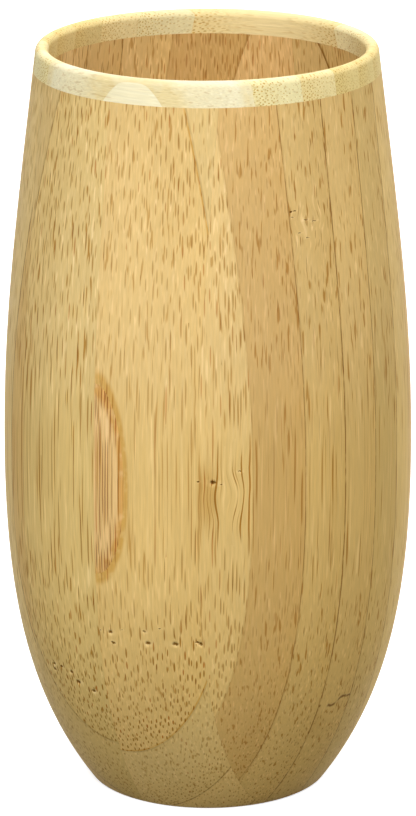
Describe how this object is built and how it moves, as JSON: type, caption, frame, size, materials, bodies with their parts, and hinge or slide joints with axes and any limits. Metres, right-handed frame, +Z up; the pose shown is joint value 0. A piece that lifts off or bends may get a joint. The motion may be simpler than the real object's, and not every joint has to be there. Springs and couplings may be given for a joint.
{
  "type": "bamboo cup",
  "caption": "Barrel-shaped tumbler turned from glued upright bamboo strips, with a rounded lip ring of paler bamboo and a flat foot. It holds a drink.",
  "frame": {"origin": "centre of the flat foot, on the table", "axes": "+Z up along the turning axis; the pictured side faces -Y"},
  "size_m": [0.075, 0.075, 0.139],
  "materials": {
    "body_strips": "carbonised bamboo under a clear satin lacquer",
    "ring_strips": "natural pale bamboo under a clear satin lacquer"
  },
  "bodies": {
    "root": {"left_strip_1": "body_strips", "left_strip_2": "body_strips", "left_strip_3": "body_strips", "left_strip_4": "body_strips", "left_strip_5": "body_strips", "left_strip_6": "body_strips", "left_strip_7": "body_strips", "left_strip_8": "body_strips", "left_strip_9": "body_strips", "left_middle_strip_1": "body_strips", "left_middle_strip_2": "body_strips", "left_middle_strip_3": "body_strips", "left_middle_strip_4": "body_strips", "left_middle_strip_5": "body_strips", "left_middle_strip_6": "body_strips", "left_middle_strip_7": "body_strips", "left_middle_strip_8_foot": "body_strips", "left_middle_strip_8_top": "body_strips", "left_middle_strip_9": "body_strips", "left_middle_strip_10": "body_strips", "right_middle_strip_1": "body_strips", "right_middle_strip_2": "body_strips", "right_middle_strip_3_foot": "body_strips", "right_middle_strip_3_top": "body_strips", "right_middle_strip_4": "body_strips", "right_middle_strip_5": "body_strips", "right_middle_strip_6": "body_strips", "right_middle_strip_7": "body_strips", "right_middle_strip_8": "body_strips", "right_middle_strip_9_foot": "body_strips", "right_middle_strip_9_top": "body_strips", "right_middle_strip_10": "body_strips", "right_middle_strip_11": "body_strips", "right_strip_1": "body_strips", "right_strip_2": "body_strips", "right_strip_3": "body_strips", "right_strip_4": "body_strips", "right_strip_5": "body_strips", "right_strip_6": "body_strips", "right_strip_7": "body_strips", "right_strip_8": "body_strips", "right_strip_9": "body_strips", "ring_strip_1": "ring_strips", "ring_strip_2": "ring_strips", "ring_strip_3_left": "ring_strips", "ring_strip_3_right": "ring_strips", "ring_strip_4_left": "ring_strips", "ring_strip_4_right": "ring_strips", "ring_strip_5_left": "ring_strips", "ring_strip_5_right": "ring_strips", "ring_strip_6_left": "ring_strips", "ring_strip_6_right": "ring_strips", "ring_strip_7_left": "ring_strips", "ring_strip_7_right": "ring_strips", "ring_strip_8_left": "ring_strips", "ring_strip_8_right": "ring_strips", "ring_strip_9_left": "ring_strips", "ring_strip_9_right": "ring_strips", "ring_strip_10": "ring_strips"}
  },
  "joints": []
}
